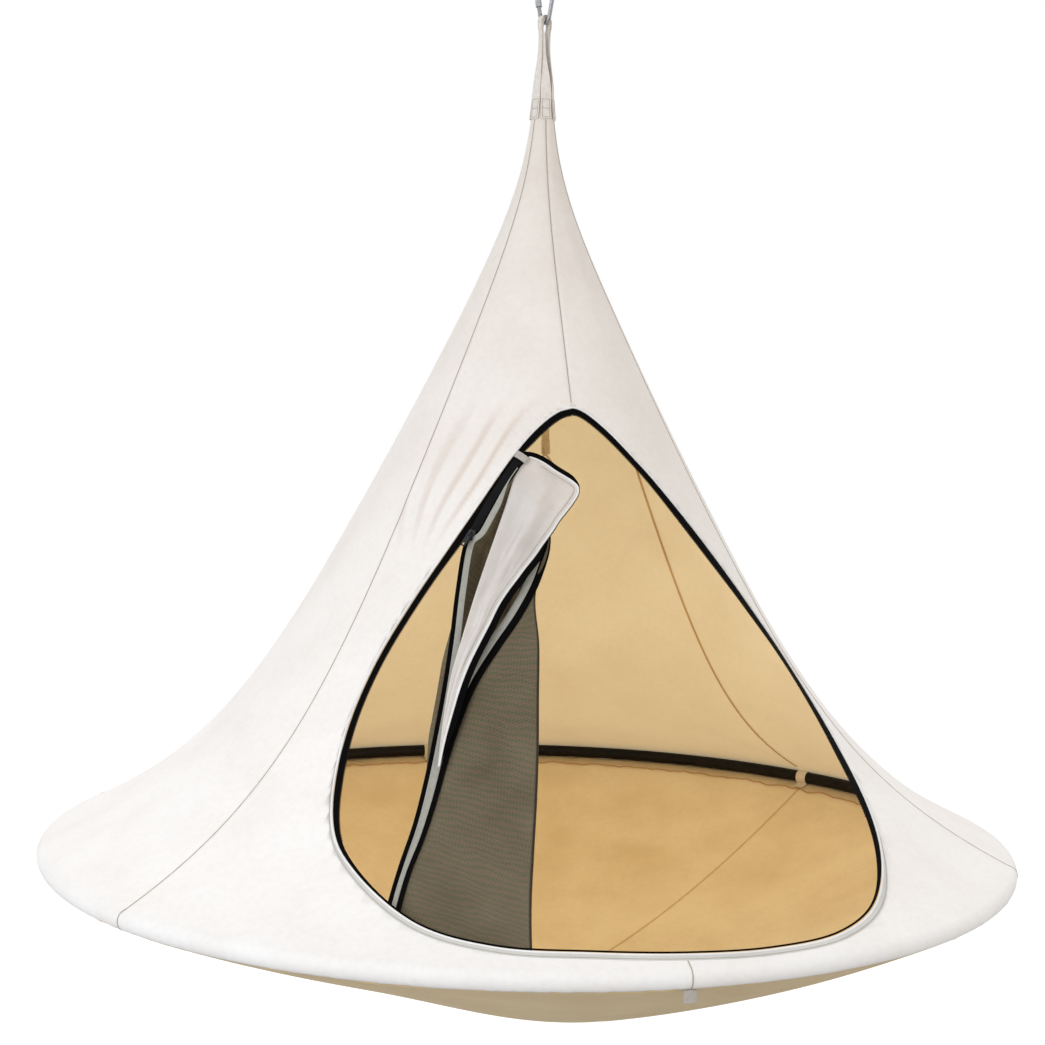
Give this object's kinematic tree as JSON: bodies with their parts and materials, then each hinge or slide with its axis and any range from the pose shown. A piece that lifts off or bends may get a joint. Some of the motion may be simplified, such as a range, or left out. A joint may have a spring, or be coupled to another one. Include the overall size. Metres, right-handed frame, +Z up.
{
  "type": "hanging tent",
  "caption": "Cone-shaped hanging cocoon tent on a round tube ring, with a bowl floor, zipped doorway and tied-back leaves, hung by webbing neck straps from a screw-gate carabiner.",
  "frame": {"origin": "inside the top bow of the carabiner, where a hook or rope bears and holds the whole tent up", "axes": "+Z up along the tent's axis, -Y out through the middle of the doorway, +X to the right seen from in front of the doorway"},
  "size_m": [1.7996, 1.7996, 1.878],
  "materials": {
    "canopy_cloth": "off-white woven cotton and polyester",
    "floor_cloth": "warm beige woven cotton and polyester",
    "pale_webbing": "pale beige flat webbing",
    "black_tape": "black woven zip tape with a coil",
    "white_tape": "white folded binding",
    "door_cloth": "off-white woven cloth in shade",
    "mesh_cloth": "fine grey-brown mosquito net",
    "grey_binding": "light grey binding tape",
    "black_tube": "black anodised aluminium tube",
    "bare_aluminium": "plain drawn aluminium",
    "steel": "zinc plated steel bar",
    "spring_steel": "bright spring wire",
    "black_zinc": "black coated die-cast zinc"
  },
  "bodies": {
    "carabiner": {"carabiner_body": "steel", "gate_pin": "steel"},
    "gate": {"carabiner_gate": "steel", "gate_plunger": "steel", "gate_spring": "spring_steel"},
    "sleeve": {"lock_sleeve": "bare_aluminium"},
    "tent": {"canopy_gore_1": "canopy_cloth", "canopy_gore_2": "canopy_cloth", "canopy_gore_3": "canopy_cloth", "canopy_gore_4": "canopy_cloth", "canopy_gore_5": "canopy_cloth", "canopy_gore_6": "canopy_cloth", "floor_panel_1": "floor_cloth", "floor_panel_2": "floor_cloth", "floor_panel_3": "floor_cloth", "floor_panel_4": "floor_cloth", "floor_panel_5": "floor_cloth", "floor_panel_6": "floor_cloth", "ring_tube_1": "black_tube", "ring_tube_2": "black_tube", "ring_tube_3": "black_tube", "ring_tube_4": "black_tube", "ring_tube_5": "black_tube", "ring_tube_6": "black_tube", "ring_ferrule_1": "bare_aluminium", "ring_ferrule_2": "bare_aluminium", "ring_ferrule_3": "bare_aluminium", "ring_ferrule_4": "bare_aluminium", "ring_ferrule_5": "bare_aluminium", "ring_ferrule_6": "bare_aluminium", "ring_keeper_1": "pale_webbing", "ring_keeper_2": "pale_webbing", "ring_keeper_3": "pale_webbing", "ring_keeper_4": "pale_webbing", "ring_keeper_5": "pale_webbing", "ring_keeper_6": "pale_webbing", "neck_strap_1": "pale_webbing", "neck_strap_2": "pale_webbing", "neck_strap_3": "pale_webbing", "door_zip_tape": "black_tape", "door_piping": "white_tape", "door_hem": "white_tape", "mesh_leaf": "mesh_cloth", "mesh_leaf_zip": "black_tape", "mesh_leaf_edge_zip": "black_tape", "mesh_leaf_binding": "grey_binding", "tie_loop": "pale_webbing", "rim_tab": "pale_webbing"},
    "slider": {"zip_slider": "black_zinc"},
    "pull": {"zip_pull": "black_zinc"},
    "door_leaf": {"door_leaf": "door_cloth", "door_leaf_zip": "black_tape"},
    "inner_strap": {"inner_hanging_strap": "pale_webbing"}
  },
  "joints": [
    {"name": "tent_swing", "type": "hinge", "parent": "carabiner", "child": "tent", "pos_m": [0, 0, -0.068], "axis": [0.5, -0.866, 0], "range_deg": [-15, 15]},
    {"name": "gate_hinge", "type": "hinge", "parent": "carabiner", "child": "gate", "pos_m": [-0.00587, 0.01017, -0.05493], "axis": [0.866, 0.5, 0], "range_deg": [0, 25], "stiffness_Nm_per_rad": 0.05, "springref_deg": -40.11},
    {"name": "sleeve_slide", "type": "slide", "parent": "gate", "child": "sleeve", "axis": [-0.1098, 0.1901, 0.9756], "range_m": [0, 0.005]},
    {"name": "slider_slide", "type": "slide", "parent": "tent", "child": "slider", "axis": [0.569, 0.1657, 0.8055], "range_m": [0, 0.06]},
    {"name": "pull_hinge", "type": "hinge", "parent": "slider", "child": "pull", "pos_m": [-0.19305, -0.29323, -0.99601], "axis": [-0.674, 0.6552, 0.3413], "range_deg": [0, 150]},
    {"name": "door_leaf_swing", "type": "hinge", "parent": "tent", "child": "door_leaf", "pos_m": [-0.08979, -0.2708, -0.88521], "axis": [-0.3417, -0.3722, -0.8629], "range_deg": [0, 25]},
    {"name": "inner_strap_swing", "type": "hinge", "parent": "tent", "child": "inner_strap", "pos_m": [0, 0.0128, -0.206], "axis": [1, 0, 0], "range_deg": [-10, 5]}
  ]
}
